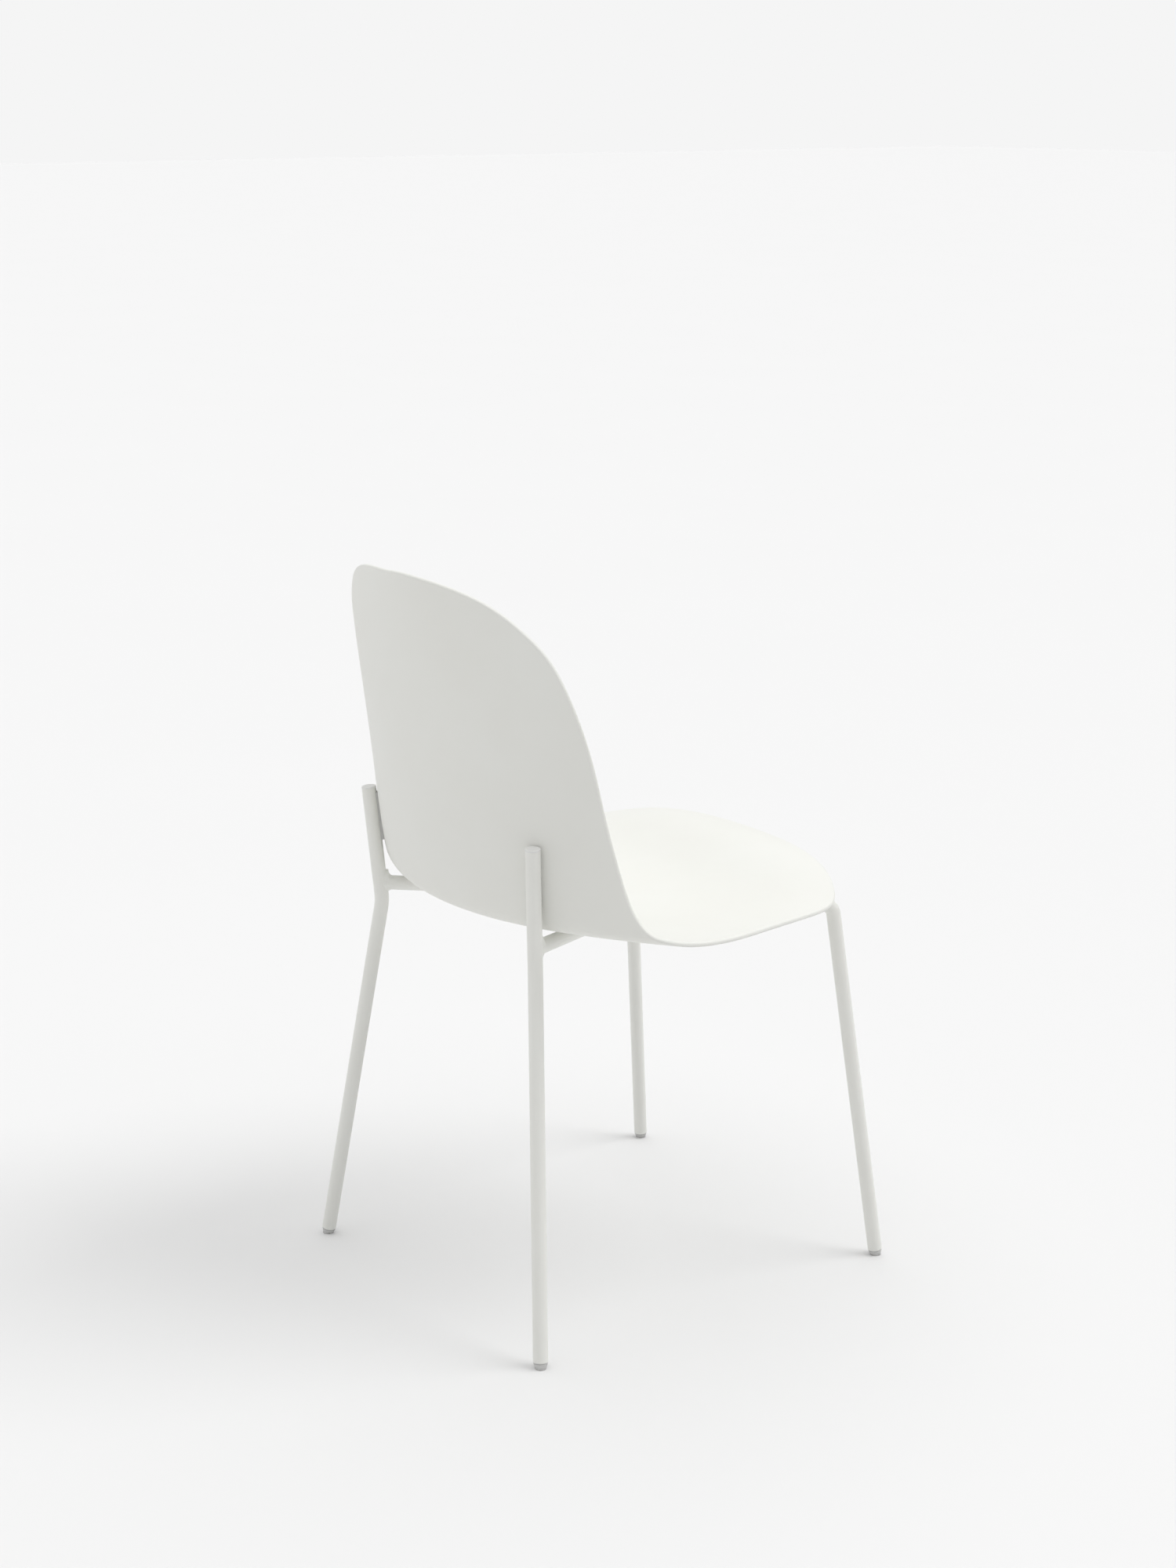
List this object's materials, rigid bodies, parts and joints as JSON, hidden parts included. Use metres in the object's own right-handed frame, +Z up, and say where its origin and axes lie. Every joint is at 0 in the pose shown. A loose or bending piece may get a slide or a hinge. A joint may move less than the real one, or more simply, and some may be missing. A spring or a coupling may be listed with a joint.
{
  "type": "stacking chair",
  "caption": "Armless stacking chair with a moulded wrap-around shell on a slim round-tube frame whose rear legs run up behind the back.",
  "frame": {"origin": "on the floor under the centre of the chair's overall box", "axes": "+Z up, the chair faces -Y, +X is the sitter's left; mirror-symmetric about X = 0"},
  "size_m": [0.531, 0.5082, 0.8164],
  "materials": {
    "shell_white": "fine matt texture",
    "frame_white": "satin powder coat",
    "pad": "matt",
    "plug_white": "matt",
    "screw_steel": "zinc plated",
    "rivnut_steel": "zinc plated",
    "insert_brass": "plain",
    "bumper": "matt",
    "glide": "matt"
  },
  "bodies": {
    "root": {"seat_shell": "shell_white", "rear_leg_left": "frame_white", "rear_leg_right": "frame_white", "front_leg_left": "frame_white", "front_leg_right": "frame_white", "seat_plate": "frame_white", "front_tab_left": "frame_white", "front_tab_right": "frame_white", "post_pad_left": "pad", "post_pad_right": "pad", "post_plug_left": "plug_white", "post_plug_right": "plug_white", "back_screws": "screw_steel", "post_rivnuts": "rivnut_steel", "seat_screws": "screw_steel", "front_screws": "screw_steel", "seat_inserts": "insert_brass", "stacking_bumper_left": "bumper", "stacking_bumper_right": "bumper", "glide_front_left": "glide", "glide_front_right": "glide", "glide_rear_left": "glide", "glide_rear_right": "glide"}
  },
  "joints": []
}
